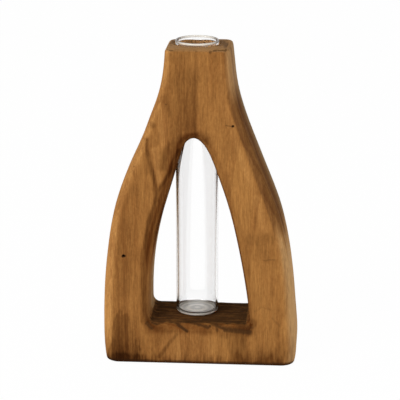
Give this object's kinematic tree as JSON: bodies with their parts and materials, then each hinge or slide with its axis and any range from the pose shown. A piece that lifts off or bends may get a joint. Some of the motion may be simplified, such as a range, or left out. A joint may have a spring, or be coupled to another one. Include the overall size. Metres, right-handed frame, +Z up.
{
  "type": "test tube vase",
  "caption": "Carved wooden frame with an arched window through it, holding an upright flat-bottomed glass tube that lifts out of the neck.",
  "frame": {"origin": "on the table, under the middle of the wooden frame's base", "axes": "+X to the right seen from the front, -Y towards the front, +Z up"},
  "size_m": [0.1118, 0.043, 0.1867],
  "materials": {
    "carved_wood": "sanded and oiled, satin, grain running up the height",
    "clear_glass": "clear, fire-polished lip"
  },
  "bodies": {
    "frame": {"wooden_frame": "carved_wood"},
    "tube": {"glass_tube": "clear_glass"}
  },
  "joints": [
    {"name": "tube_lift", "type": "slide", "parent": "frame", "child": "tube", "axis": [0, 0, 1], "range_m": [0, 0.165]}
  ]
}
